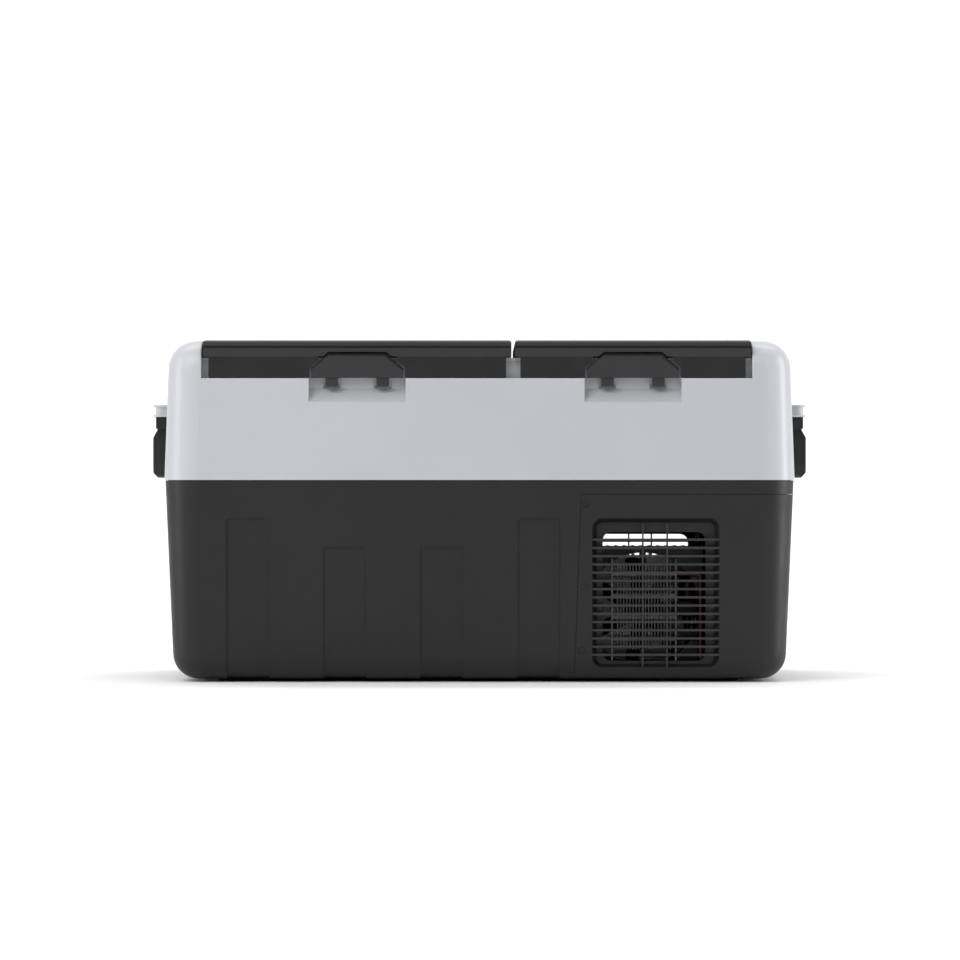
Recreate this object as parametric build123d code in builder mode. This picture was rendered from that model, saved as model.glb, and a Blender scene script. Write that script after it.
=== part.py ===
"""Compressor cooler box with two top-opening lids over a deep and a shallow compartment.

The frame: +X along the box to the right, -Y towards the user's side with the latches, +Z up.
The origin is the centre of the footprint on the floor. All sizes are millimetres.
"""

from build123d import *

import math
import os

# ---------------------------------------------------------------- driving dimensions
TOP_Z = 356.0  # lids and end towers
SPLIT_Z = 210.7  # where the light upper housing meets the dark lower one
SPLIT_GAP = 0.4
FLOOR_Z = 3.0  # underside of the housing, above the rubber feet
DRAFT = 2.1  # degrees that the upper housing leans
LOWER_DRAFT = 2.5  # degrees that the lower housing leans
WALL = 3.0
UPPER_HALF = (329.7, 173.0)  # half length and half depth at the split
LOWER_HALF = (328.7, 172.0)
CORNER_R = 38.0
TOP_R = 29.0
BOTTOM_R = 27.0

TOWER_LEFT_X, TOWER_RIGHT_X = -289.1, 283.4  # inner faces of the end towers
SILL_Z = 316.6  # top of the front wall under the lids
DECK_Z = 338.0  # rim that the lids close on
RIM_FRONT_Y, RIM_REAR_Y = -155.0, 160.0
REAR_SILL_Y = 147.0  # behind this the rear wall rises to the deck

LIDS = {"left": (-287.5, 33.2), "right": (36.8, 282.3)}
LID_BOTTOM_Z = 339.0
LID_WALL = 3.0
SKIRT_Z = 317.2
SKIRT_INSET = 5.7
CAVITY_Y = (-154.0, 145.0)
HINGE_Y, HINGE_Z, BARREL_R = 160.0, 347.5, 8.5
HINGE_PIN_R, RUNNING_GAP = 2.5, 0.05
HINGE_OFFSETS = {"left": 103.0, "right": 72.0}  # from the middle of the lid
KNUCKLE_WIDTH, KNUCKLE_GAP, KNUCKLE_R = 25.0, 1.0, 7.5

LATCH_HALF, LATCH_TOP_HALF = 48.2, 29.5
LATCH_Z = (316.8, 327.0, 342.5)  # bottom, start of the slanted sides, top
LATCH_Y = (-168.2, -164.2)
LATCH_GAP = 1.4
LATCH_POCKET_Y = -156.9
LATCH_PIVOT = (-160.6, 338.6)
LATCH_BARREL_R, LATCH_PIN_R = 3.0, 1.25
LATCH_BARREL_HALF, LATCH_LUG = 20.0, (21.0, 26.0)
HOOK_X, HOOK_WIDTH, HOOK_TIP_Y = 26.5, 13.0, -158.0
HOOK_BOTTOM_Z, HOOK_POCKET_Z = 308.0, (306.2, 311.4)
SCOOP_HALF, SCOOP_LIP_Z, SCOOP_BACK_Z = 50.4, 291.7, 306.0

TUBS = {"left": (-275.0, 16.0, 40.0), "right": (54.0, 269.0, 234.0)}  # x range, floor
TUB_Y = (-130.0, 132.0)
TUB_R, TUB_WALL = 22.0, 2.0
PLUG_GAP, PLUG_Z = 3.0, 326.0
PANEL_Z = (341.3, 343.3)
GASKET_Z = 338.3

BAY_X, BAY_Z = 105.4, 196.0  # corner of the machine bay at its top
SEAM = 0.4
VENT_X, VENT_WIDTH, VENT_Z, VENT_R = 183.2, 132.8, (13.5, 171.3), 11.0
VENT_DEPTH = 9.0
OPENING_X, OPENING_WIDTH, OPENING_Z, OPENING_R = 181.7, 107.0, (21.8, 156.2), 9.0
BAR_PITCH, BAR_COUNT, BAR_TOP_Z, BAR_HEIGHT, BAR_DEPTH = 8.57, 15, 148.7, 2.3, 3.0
POST_X, POST_WIDTH, POST_Z = (169.7, 195.0), 1.7, (15.5, 165.0)
REAR_VENT_SHIFT = (-3.5, -6.0)  # the rear opening sits a little lower and inwards
COVER_SCREWS = ((110.5, 185.8), (108.5, 99.6), (106.4, 33.2))
SCREW_HEAD_R, SCREW_R = 3.0, 1.5

PANELS = ((-241.0, 171.0), (-140.4, 141.0), (-39.7, 141.0), (61.8, 171.0))
PANEL_HALF, PANEL_DEPTH, PANEL_R = 22.0, 1.6, 3.0
END_PANELS = ((-82.0, 150.0), (0.0, 150.0), (82.0, 150.0))

LEDGE_HALF_Y, LEDGE_X, LEDGE_Z = 97.0, 344.8, (277.2, 279.6, 287.8, 290.2)
LEDGE_R, LEDGE_GROOVE = 10.0, 2.6
HANDLE_PIVOT = (336.0, 270.6)  # distance from the middle plane, height
HANDLE_PIN_R, HANDLE_EYE_R = 3.0, 5.4
HANDLE_HALF_Y, HANDLE_ARM, HANDLE_GRIP = 79.0, 15.0, 19.0
HANDLE_Z, HANDLE_OUT_X, HANDLE_IN_X = 213.0, 345.8, 331.6
LUG_Y = (80.0, 94.0)

KEYS = {"power": -46.0, "set": -30.0, "down": 30.0, "up": 46.0}
KEY_SIZE, KEY_GAP = (10.0, 8.0), 0.08
CONTROL_Z, CONTROL_SIZE, CONTROL_POCKET = 309.5, (126.0, 27.0), 4.4
WINDOW_SIZE = (36.0, 16.0)

FAN_X, FAN_Z, FAN_Y, FAN_R = 172.0, 75.0, (-116.0, -92.0), 57.0
COMPRESSOR_X, COMPRESSOR_Y, COMPRESSOR_R, COMPRESSOR_Z = 270.0, 30.0, 40.0, (26.0, 148.0)
CONDENSER_X, CONDENSER_Y, CONDENSER_Z = (144.0, 199.0), (-150.0, -124.0), (34.0, 124.0)
TRAY_Z = (6.2, 7.8)

os.makedirs("parts", exist_ok=True)
SLOPE = math.tan(math.radians(DRAFT))
LOWER_SLOPE = math.tan(math.radians(LOWER_DRAFT))
made = []


# ---------------------------------------------------------------- helpers
def slab(x_range, y_range, z_range, mode=Mode.ADD):
    """A box given by its lowest and highest coordinates."""
    ranges = (sorted(x_range), sorted(y_range), sorted(z_range))
    with Locations(tuple((low + high) / 2 for low, high in ranges)):
        Box(*(high - low for low, high in ranges), mode=mode)


def rod(start, end, radius, mode=Mode.ADD):
    """A round bar between two points."""
    axis = Vector(*end) - Vector(*start)
    with BuildSketch(Plane(origin=start, z_dir=axis)) as disc:
        Circle(radius)
    extrude(disc.sketch, amount=axis.length, mode=mode)


def finish(part, name):
    """Labels a finished piece and writes its STEP file."""
    part.label = name
    export_step(part, f"parts/{name}.step")
    made.append(name)


def upper_half(z, axis):
    """Half size of the upper housing at a height: axis 0 is its length, 1 its depth."""
    return UPPER_HALF[axis] - (z - SPLIT_Z) * SLOPE


def lower_half(z, axis):
    """Half size of the lower housing at a height."""
    return LOWER_HALF[axis] - (SPLIT_Z - SPLIT_GAP - z) * LOWER_SLOPE


def upper_block(inset):
    """The upper housing's envelope, inset from its outside."""
    with BuildPart() as block:
        with BuildSketch(Plane.XY.offset(SPLIT_Z)):
            half_x, half_y = (half - inset for half in UPPER_HALF)
            RectangleRounded(2 * half_x, 2 * half_y, CORNER_R - inset)
        extrude(amount=TOP_Z - inset - SPLIT_Z, taper=DRAFT)
        fillet(block.faces().sort_by(Axis.Z)[-1].edges(), TOP_R - inset)
    return block.part


def lower_block(inset):
    """The lower housing's envelope, inset from its outside but open at its top."""
    with BuildPart() as block:
        top = Plane(origin=(0, 0, SPLIT_Z - SPLIT_GAP), x_dir=(1, 0, 0), z_dir=(0, 0, -1))
        with BuildSketch(top):
            half_x, half_y = (half - inset for half in LOWER_HALF)
            RectangleRounded(2 * half_x, 2 * half_y, CORNER_R - inset)
        extrude(amount=SPLIT_Z - SPLIT_GAP - FLOOR_Z - inset, taper=LOWER_DRAFT)
        fillet(block.faces().sort_by(Axis.Z)[0].edges(), BOTTOM_R - inset)
    return block.part


def bay_block(growth):
    """The machine bay's space at the right end, whose seam leans with the draft."""
    reach, depth = 400.0, 260.0
    left_top = BAY_X - growth
    left_bottom = left_top - BAY_Z * SLOPE
    with BuildPart() as block:
        with BuildSketch(Plane.XZ.offset(-depth)):
            with BuildLine():
                Polyline(
                    (left_bottom, 0.0),
                    (left_top, BAY_Z + growth),
                    (reach, BAY_Z + growth),
                    (reach, -10.0),
                    (left_bottom, -10.0),
                    close=True,
                )
            make_face()
        extrude(amount=2 * depth)
    return block.part


def wall_plane(side, x, z):
    """A plane on the lower housing's front (side -1) or rear (side 1) wall, facing out."""
    draft = math.radians(LOWER_DRAFT)
    return Plane(
        origin=(x, side * lower_half(z, 1), z),
        x_dir=(-side, 0, 0),
        z_dir=(0, side * math.cos(draft), -math.sin(draft)),
    )


upper_outer, upper_inner = (upper_block(inset) for inset in (0, WALL))
lower_outer, lower_inner, lower_core = (lower_block(inset) for inset in (0, WALL, 6.0))
lower_skin = lower_block(PANEL_DEPTH)
lower_flange = lower_block(WALL + 0.3)


# ---------------------------------------------------------------- upper housing
def end_plane(z):
    """A plane on the upper housing's right end wall, facing out."""
    draft = math.radians(DRAFT)
    return Plane(
        origin=(upper_half(z, 0), 0, z),
        x_dir=(0, 1, 0),
        z_dir=(math.cos(draft), 0, math.sin(draft)),
    )


def tub_sketch(side, growth):
    """A compartment's outline in the active sketch, grown outwards."""
    x_low, x_high, _ = TUBS[side]
    with Locations(((x_low + x_high) / 2, sum(TUB_Y) / 2)):
        RectangleRounded(
            x_high - x_low + 2 * growth, TUB_Y[1] - TUB_Y[0] + 2 * growth, TUB_R + growth
        )


def latch_centre(side):
    return sum(LIDS[side]) / 2


with BuildPart() as upper_cavity:
    add(upper_inner)
    towers = (TOWER_LEFT_X - WALL, TOWER_RIGHT_X + WALL)
    slab(towers, (-300, REAR_SILL_Y), (SILL_Z - WALL, 400), mode=Mode.SUBTRACT)
    slab(towers, (REAR_SILL_Y, 300), (DECK_Z - 6.0, 400), mode=Mode.SUBTRACT)
    slab(
        (TOWER_LEFT_X + WALL, TOWER_RIGHT_X - WALL),
        (RIM_FRONT_Y + WALL, RIM_REAR_Y - WALL),
        (300.0, 345.0),
    )
    for lid in LIDS:
        middle = latch_centre(lid)
        slab(
            (middle - SCOOP_HALF - WALL, middle + SCOOP_HALF + WALL),
            (-300, RIM_FRONT_Y + 7.0),
            (SCOOP_LIP_Z - 4.0, SILL_Z + 3.0),
            mode=Mode.SUBTRACT,
        )
    slab(
        (UPPER_HALF[0] - 12.0, 400),
        (-CONTROL_SIZE[0] / 2 - 3, CONTROL_SIZE[0] / 2 + 3),
        (CONTROL_Z - CONTROL_SIZE[1] / 2 - 3, CONTROL_Z + CONTROL_SIZE[1] / 2 + 3),
        mode=Mode.SUBTRACT,
    )

with BuildPart() as upper_shell:
    add(upper_outer)
    slab((TOWER_LEFT_X, TOWER_RIGHT_X), (-300, REAR_SILL_Y), (SILL_Z, 400), mode=Mode.SUBTRACT)
    slab((TOWER_LEFT_X, TOWER_RIGHT_X), (REAR_SILL_Y, 300), (DECK_Z, 400), mode=Mode.SUBTRACT)
    slab(
        (TOWER_LEFT_X, TOWER_RIGHT_X),
        (RIM_FRONT_Y, RIM_REAR_Y),
        (SILL_Z - 1.0, DECK_Z - WALL),
    )
    slab(
        (TOWER_LEFT_X, TOWER_RIGHT_X),
        (RIM_FRONT_Y, RIM_REAR_Y),
        (DECK_Z - WALL, 345.0),
        mode=Mode.SUBTRACT,
    )
    # Ledges above the handles: two flanges with a groove between them, on both ends.
    for end in (-1, 1):
        for low, high, inset in (
            (LEDGE_Z[0], LEDGE_Z[1], 0.0),
            (LEDGE_Z[1], LEDGE_Z[2], LEDGE_GROOVE),
            (LEDGE_Z[2], LEDGE_Z[3], 0.0),
        ):
            root = 300.0
            with BuildSketch(Plane.XY.offset(low)):
                with Locations((end * (root + LEDGE_X - inset) / 2, 0)):
                    RectangleRounded(
                        LEDGE_X - inset - root, 2 * (LEDGE_HALF_Y - inset), LEDGE_R - inset
                    )
            extrude(amount=high - low)
    add(upper_cavity.part, mode=Mode.SUBTRACT)
    # Finger scoops below the latches, with pockets where the hooks catch.
    for lid in LIDS:
        middle = latch_centre(lid)
        with BuildSketch(Plane.YZ.offset(middle - SCOOP_HALF)):
            with BuildLine():
                Polyline(
                    (-185.0, SCOOP_LIP_Z - 0.97 * (185.0 - 169.7)),
                    (RIM_FRONT_Y, SCOOP_BACK_Z),
                    (RIM_FRONT_Y, SILL_Z + 2.0),
                    (-185.0, SILL_Z + 2.0),
                    close=True,
                )
            make_face()
        extrude(amount=2 * SCOOP_HALF, mode=Mode.SUBTRACT)
        for hook in (-HOOK_X, HOOK_X):
            slab(
                (middle + hook - 9.0, middle + hook + 9.0),
                (RIM_FRONT_Y - 1.0, RIM_FRONT_Y + 4.0),
                HOOK_POCKET_Z,
                mode=Mode.SUBTRACT,
            )
    with BuildSketch(end_plane(CONTROL_Z)):
        RectangleRounded(*CONTROL_SIZE, 8.0)
    extrude(amount=-CONTROL_POCKET, mode=Mode.SUBTRACT)
    # Hinge posts standing in the gaps of the lids' barrels.
    for lid in LIDS:
        for offset in (-HINGE_OFFSETS[lid], HINGE_OFFSETS[lid]):
            x = latch_centre(lid) + offset
            low, high = x - KNUCKLE_WIDTH / 2, x + KNUCKLE_WIDTH / 2
            slab((low, high), (HINGE_Y + 0.3, HINGE_Y + KNUCKLE_R), (DECK_Z - 2.0, HINGE_Z))
            slab((low, high), (HINGE_Y - KNUCKLE_R, HINGE_Y + KNUCKLE_R), (DECK_Z + 0.05, HINGE_Z))
            rod((low, HINGE_Y, HINGE_Z), (high, HINGE_Y, HINGE_Z), KNUCKLE_R)
            rod(
                (low - 1.0, HINGE_Y, HINGE_Z), (high + 1.0, HINGE_Y, HINGE_Z),
                HINGE_PIN_R + RUNNING_GAP, mode=Mode.SUBTRACT,
            )
    # Softened edges on the towers, the front sill, the scoops and the ledges.
    for x in (TOWER_LEFT_X, TOWER_RIGHT_X):
        rims = upper_shell.edges().filter_by_position(Axis.X, x - 0.01, x + 0.01)
        fillet(rims.filter_by_position(Axis.Z, 340.0, 400.0), 1.5)
    front_edges = upper_shell.edges().filter_by(Axis.X).filter_by_position(Axis.Y, -180.0, -165.0)
    fillet(front_edges.filter_by_position(Axis.Z, SILL_Z - 0.01, SILL_Z + 0.01), 0.8)
    fillet(front_edges.filter_by_position(Axis.Z, 290.4, 292.4), 0.8)
    for z in (LEDGE_Z[0], LEDGE_Z[3]):
        rims = upper_shell.edges().filter_by_position(Axis.Z, z - 0.01, z + 0.01)
        for low, high in ((-400.0, -335.0), (335.0, 400.0)):
            fillet(rims.filter_by_position(Axis.X, low, high), 0.9)
finish(upper_shell.part, "upper_shell")

# ---------------------------------------------------------------- lower housing
with BuildPart() as panel_cutters:
    for x, top in PANELS:
        for side in (-1, 1):
            with BuildSketch(Plane.XZ.offset(-side * 120.0)):
                with Locations((x, (top - 60.0) / 2)):
                    RectangleRounded(2 * PANEL_HALF, top + 60.0, PANEL_R)
            extrude(amount=-side * 100.0)
    for y, top in END_PANELS:
        with BuildSketch(Plane.YZ.offset(-400.0)):
            with Locations((y, (top - 60.0) / 2)):
                RectangleRounded(2 * PANEL_HALF, top + 60.0, PANEL_R)
        extrude(amount=110.0)
    add(lower_skin, mode=Mode.SUBTRACT)

with BuildPart() as lower_cavity:
    add(lower_inner)
    add(bay_block(WALL), mode=Mode.SUBTRACT)

with BuildPart() as screw_strips:
    add(lower_flange)
    add(lower_core, mode=Mode.SUBTRACT)
    slab((92.0, 120.0), (-300, 300), (14.0, 192.0), mode=Mode.INTERSECT)
    slab((90.0, 130.0), (-120.0, 120.0), (0, 300), mode=Mode.SUBTRACT)
    slab((111.0, 130.0), (-300.0, 300.0), (0, 177.5), mode=Mode.SUBTRACT)

with BuildPart() as lower_shell:
    add(lower_outer)
    add(bay_block(0), mode=Mode.SUBTRACT)
    add(lower_cavity.part, mode=Mode.SUBTRACT)
    add(panel_cutters.part, mode=Mode.SUBTRACT)
    add(screw_strips.part)
    # A tongue that locates the upper housing.
    tongue_x, tongue_y = LOWER_HALF[0] - 2.5, LOWER_HALF[1] - 2.5
    with BuildSketch(Plane.XY.offset(SPLIT_Z - 10.0)):
        RectangleRounded(2 * tongue_x, 2 * tongue_y, CORNER_R - 2.5)
        RectangleRounded(2 * tongue_x - 5, 2 * tongue_y - 5, CORNER_R - 5, mode=Mode.SUBTRACT)
    extrude(amount=17.0)
    for side in (-1, 1):
        for x, z in COVER_SCREWS:
            with BuildSketch(wall_plane(side, x, z).offset(1.0)):
                Circle(SCREW_R + 0.1)
            extrude(amount=-9.0, mode=Mode.SUBTRACT)
finish(lower_shell.part, "lower_shell")


# ---------------------------------------------------------------- machine bay cover
def vent_planes():
    """The front and rear vents: their side, plane and offset from the front's place."""
    for side, (shift_x, shift_z) in ((-1, (0.0, 0.0)), (1, REAR_VENT_SHIFT)):
        middle_z = sum(VENT_Z) / 2
        plane = wall_plane(side, VENT_X + shift_x, middle_z)
        yield side, plane, shift_x, shift_z


def vent_recess(plane, growth, depth):
    """The vent's tapered recess, grown outwards by a wall."""
    height = VENT_Z[1] - VENT_Z[0]
    with BuildPart() as recess:
        with BuildSketch(plane.offset(0.6)):
            RectangleRounded(VENT_WIDTH + 2 * growth, height + 2 * growth, VENT_R + growth)
        extrude(amount=-depth - 0.6, taper=28.0)
    return recess.part


recesses = {side: vent_recess(plane, 0.0, VENT_DEPTH) for side, plane, _, _ in vent_planes()}
pans = {side: vent_recess(plane, 4.0, VENT_DEPTH + WALL) for side, plane, _, _ in vent_planes()}

with BuildPart() as service_cover:
    add(lower_outer)
    add(bay_block(-SEAM), mode=Mode.INTERSECT)
    add(lower_inner, mode=Mode.SUBTRACT)
    for pan in pans.values():
        add(pan)
    add(lower_outer, mode=Mode.INTERSECT)
    for recess in recesses.values():
        add(recess, mode=Mode.SUBTRACT)
    for side, plane, shift_x, shift_z in vent_planes():
        with BuildSketch(plane):
            local_x = -side * (OPENING_X - VENT_X)
            local_y = (sum(OPENING_Z) - sum(VENT_Z)) / 2 + shift_z
            with Locations((local_x, local_y)):
                RectangleRounded(OPENING_WIDTH, OPENING_Z[1] - OPENING_Z[0], OPENING_R)
        extrude(amount=-30.0, mode=Mode.SUBTRACT)
        for x, z in COVER_SCREWS:
            with BuildSketch(wall_plane(side, x, z).offset(1.0)):
                Circle(SCREW_HEAD_R + 0.7)
            extrude(amount=-2.6, mode=Mode.SUBTRACT)
            with BuildSketch(wall_plane(side, x, z)):
                Circle(SCREW_R + 0.1)
            extrude(amount=-6.0, mode=Mode.SUBTRACT)
    # Opening for the power inlet in the right end wall.
    slab((290, 340), (-77, -43), (50, 74), mode=Mode.SUBTRACT)
finish(service_cover.part, "service_cover")

for side, plane, shift_x, shift_z in vent_planes():
    with BuildPart() as grille:
        reach = VENT_WIDTH + 4
        middle_z = sum(VENT_Z) / 2
        with BuildSketch(plane.offset(-0.5)):
            for i in range(BAR_COUNT):
                with Locations((0, BAR_TOP_Z + shift_z - i * BAR_PITCH - middle_z)):
                    Rectangle(reach, BAR_HEIGHT)
            for x in POST_X:
                with Locations((-side * (x - VENT_X), sum(POST_Z) / 2 - middle_z)):
                    Rectangle(POST_WIDTH, POST_Z[1] - POST_Z[0])
        extrude(amount=-BAR_DEPTH)
        add(recesses[side], mode=Mode.INTERSECT)
    finish(grille.part, "front_grille" if side < 0 else "rear_grille")

with BuildPart() as cover_screws:
    for side in (-1, 1):
        for x, z in COVER_SCREWS:
            seat = wall_plane(side, x, z).offset(-1.6)
            with BuildSketch(seat):
                Circle(SCREW_HEAD_R)
            extrude(amount=1.4)
            with BuildSketch(seat.offset(1.5)):
                Rectangle(4.0, 0.8)
                Rectangle(0.8, 4.0)
            extrude(amount=-1.0, mode=Mode.SUBTRACT)
            with BuildSketch(seat):
                Circle(SCREW_R)
            extrude(amount=-5.5)
finish(cover_screws.part, "cover_screws")

# ---------------------------------------------------------------- liner and insulation
with BuildPart() as liner_deck:
    slab(
        (TOWER_LEFT_X + 0.4, TOWER_RIGHT_X - 0.4),
        (RIM_FRONT_Y + 0.3, RIM_REAR_Y - 0.3),
        (DECK_Z - WALL, DECK_Z),
    )
    with BuildSketch(Plane.XY.offset(DECK_Z - 10.0)):
        for tub in TUBS:
            tub_sketch(tub, 0.0)
    extrude(amount=20.0, mode=Mode.SUBTRACT)
finish(liner_deck.part, "liner_deck")

for tub, (_, _, floor) in TUBS.items():
    with BuildPart() as liner_tub:
        with BuildSketch(Plane.XY.offset(floor - TUB_WALL)):
            tub_sketch(tub, TUB_WALL)
        extrude(amount=DECK_Z - WALL - floor + TUB_WALL)
        with BuildSketch(Plane.XY.offset(floor)):
            tub_sketch(tub, 0.0)
        extrude(amount=DECK_Z, mode=Mode.SUBTRACT)
    finish(liner_tub.part, f"{tub}_tub")

with BuildPart() as evaporator_plates:
    for tub, low, high in (("left", 60.0, 200.0), ("right", 246.0, 306.0)):
        with BuildSketch(Plane.XY.offset(low)):
            tub_sketch(tub, TUB_WALL + 1.7)
        extrude(amount=high - low)
    for tub in TUBS:
        with BuildSketch(Plane.XY.offset(50.0)):
            tub_sketch(tub, TUB_WALL + 0.3)
        extrude(amount=300.0, mode=Mode.SUBTRACT)
finish(evaporator_plates.part, "evaporator_plates")

foam_skin = upper_block(9.8)
with BuildPart() as insulation_foam:
    add(lower_block(WALL + 1.0))
    slab((-400, 400), (-300, 300), (SPLIT_Z - 10.5, 400), mode=Mode.SUBTRACT)
    add(bay_block(WALL + 1.0), mode=Mode.SUBTRACT)
    half_x, half_y = (half - 9.8 for half in UPPER_HALF)
    with BuildSketch(Plane.XY.offset(SPLIT_Z - 10.5)):
        RectangleRounded(2 * half_x, 2 * half_y, CORNER_R - 9.8)
    extrude(amount=10.5)
    add(foam_skin)
    slab((-400, 400), (-300, RIM_FRONT_Y + 7.5), (285.0, 400), mode=Mode.SUBTRACT)
    for low, high in ((-400, TOWER_LEFT_X + 4.0), (TOWER_RIGHT_X - 4.0, 400)):
        slab((low, high), (-300, 300), (306.0, 400), mode=Mode.SUBTRACT)
    slab((-400, 400), (REAR_SILL_Y - 1.0, 300), (312.0, 400), mode=Mode.SUBTRACT)
    slab((-400, 400), (-300, 300), (DECK_Z - WALL - 0.4, 400), mode=Mode.SUBTRACT)
    for side in (-1, 1):
        slab((88.0, 116.0), (side * 136.0, side * 300.0), (0.0, 194.0), mode=Mode.SUBTRACT)
    for tub, (_, _, floor) in TUBS.items():
        with BuildSketch(Plane.XY.offset(floor - TUB_WALL - 0.4)):
            tub_sketch(tub, TUB_WALL + 2.1)
        extrude(amount=400.0, mode=Mode.SUBTRACT)
finish(insulation_foam.part, "insulation_foam")

with BuildPart() as interior_lamp:
    lamp_x = TUBS["left"][0] + 60.0
    slab((lamp_x - 24, lamp_x + 24), (TUB_Y[1] - 3.5, TUB_Y[1]), (300.0, 314.0))
    fillet(interior_lamp.faces().sort_by(Axis.Y)[0].edges(), 1.2)
finish(interior_lamp.part, "interior_lamp")

# ---------------------------------------------------------------- machine bay contents
with BuildPart() as base_tray:
    tray_x, tray_y = (102.0, 286.0), 133.0
    slab(tray_x, (-tray_y, tray_y), TRAY_Z)
    slab(tray_x, (-tray_y, tray_y), (TRAY_Z[0], 13.0))
    slab(
        (tray_x[0] + 1.6, tray_x[1] - 1.6),
        (1.6 - tray_y, tray_y - 1.6),
        (TRAY_Z[1], 20.0),
        mode=Mode.SUBTRACT,
    )
    # Ribs and the raised feet that the compressor stands on.
    for y in (-84.0, -30.0, 86.0):
        slab(tray_x, (y - 2, y + 2), (TRAY_Z[0], 10.5))
    for dx in (-28.0, 14.0):
        for dy in (-30.0, 30.0):
            with Locations((COMPRESSOR_X + dx - 12.0, COMPRESSOR_Y + dy, TRAY_Z[1])):
                Cylinder(5.0, 6.0, align=(Align.CENTER, Align.CENTER, Align.MIN))
finish(base_tray.part, "base_tray")

with BuildPart() as rubber_feet:
    for x in (-252.0, 250.0):
        for y in (-104.0, 104.0):
            with BuildSketch(Plane.XY):
                with Locations((x, y)):
                    RectangleRounded(46.0, 26.0, 9.0)
            extrude(amount=FLOOR_Z)
finish(rubber_feet.part, "rubber_feet")

foot_tops = [
    (COMPRESSOR_X + dx - 12.0, COMPRESSOR_Y + dy) for dx in (-28.0, 14.0) for dy in (-30.0, 30.0)
]
with BuildPart() as compressor_grommets:
    for x, y in foot_tops:
        with Locations((x, y, TRAY_Z[1] + 6.0)):
            Cylinder(6.0, 5.0, align=(Align.CENTER, Align.CENTER, Align.MIN))
finish(compressor_grommets.part, "compressor_grommets")

with BuildPart() as compressor:
    low, high = COMPRESSOR_Z
    middle = (low + high) / 2 + 6.0
    with BuildSketch(Plane(origin=(COMPRESSOR_X, COMPRESSOR_Y, 0), x_dir=(1, 0, 0), z_dir=(0, -1, 0))):
        with BuildLine():
            Polyline((0, high), (0, low), (COMPRESSOR_R - 14, low))
            Line((COMPRESSOR_R - 14, low), (COMPRESSOR_R, low + 12))
            Polyline(
                (COMPRESSOR_R, low + 12),
                (COMPRESSOR_R, middle - 3),
                (COMPRESSOR_R + 3, middle - 3),
                (COMPRESSOR_R + 3, middle + 3),
                (COMPRESSOR_R, middle + 3),
                (COMPRESSOR_R, high - 24),
            )
            ThreePointArc(
                (COMPRESSOR_R, high - 24), (COMPRESSOR_R * 0.76, high - 8.0), (COMPRESSOR_R * 0.3, high)
            )
            Line((COMPRESSOR_R * 0.3, high), (0, high))
        make_face()
    revolve(axis=Axis((COMPRESSOR_X, COMPRESSOR_Y, 0), (0, 0, 1)))
    plate_low = TRAY_Z[1] + 11.0
    slab(
        (COMPRESSOR_X - 50.0, COMPRESSOR_X + 12.0),
        (COMPRESSOR_Y - 40.0, COMPRESSOR_Y + 40.0),
        (plate_low, plate_low + 3.0),
    )
    slab(
        (COMPRESSOR_X - 18.0, COMPRESSOR_X + 12.0),
        (COMPRESSOR_Y - 18.0, COMPRESSOR_Y + 18.0),
        (plate_low, low + 2.0),
    )
    # Electrical terminal cover, on the side that faces the driver.
    slab(
        (COMPRESSOR_X - 14.0, COMPRESSOR_X + 14.0),
        (COMPRESSOR_Y + 30.0, COMPRESSOR_Y + COMPRESSOR_R + 12.0),
        (56.0, 88.0),
    )
finish(compressor.part, "compressor")

with BuildPart() as condenser:
    x_low, x_high = CONDENSER_X
    count = 18
    for i in range(count):
        x = x_low + (x_high - x_low) * i / (count - 1)
        slab((x - 0.4, x + 0.4), CONDENSER_Y, CONDENSER_Z)
    for y in (CONDENSER_Y[0] + 7.0, CONDENSER_Y[1] - 7.0):
        for i in range(4):
            z = CONDENSER_Z[0] + 11.0 + 22.5 * i
            rod((x_low - 5.0, y, z), (x_high + 5.0, y, z), 3.5)
    for x in (x_low - 6.5, x_high + 5.0):
        slab((x, x + 1.5), CONDENSER_Y, (CONDENSER_Z[0] - 4.0, CONDENSER_Z[1] + 4.0))
    for x in (x_low - 6.5, x_high + 5.0):
        slab((x, x + 1.5), (CONDENSER_Y[0], -116.4), (TRAY_Z[1] + 10.0, CONDENSER_Z[0]))
finish(condenser.part, "condenser")

ring_r = FAN_R + 2.5
with BuildPart() as fan_shroud:
    fan_front = Plane(origin=(FAN_X, FAN_Y[0], FAN_Z), x_dir=(1, 0, 0), z_dir=(0, 1, 0))
    with BuildSketch(fan_front):
        with Locations((0, 0)):
            Rectangle(126.0, 2 * (FAN_Z - 8.4))
    extrude(amount=2.4)
    with BuildSketch(fan_front):
        Circle(ring_r + 2.4)
    extrude(amount=FAN_Y[1] - FAN_Y[0])
    with BuildSketch(fan_front.offset(-1.0)):
        Circle(ring_r)
    extrude(amount=40.0, mode=Mode.SUBTRACT)
    with BuildSketch(fan_front.offset(15.0)):
        Circle(18.0)
        for angle in (30.0, 150.0, 270.0):
            with PolarLocations(0, 1, start_angle=angle):
                with Locations((ring_r / 2, 0)):
                    Rectangle(ring_r + 2.0, 7.0)
    extrude(amount=3.0)
    with BuildSketch(fan_front.offset(15.0)):
        Circle(18.0)
    extrude(amount=11.0)
    with BuildSketch(fan_front.offset(10.0)):
        Circle(2.0 + RUNNING_GAP)
    extrude(amount=14.0, mode=Mode.SUBTRACT)
finish(fan_shroud.part, "fan_shroud")

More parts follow.
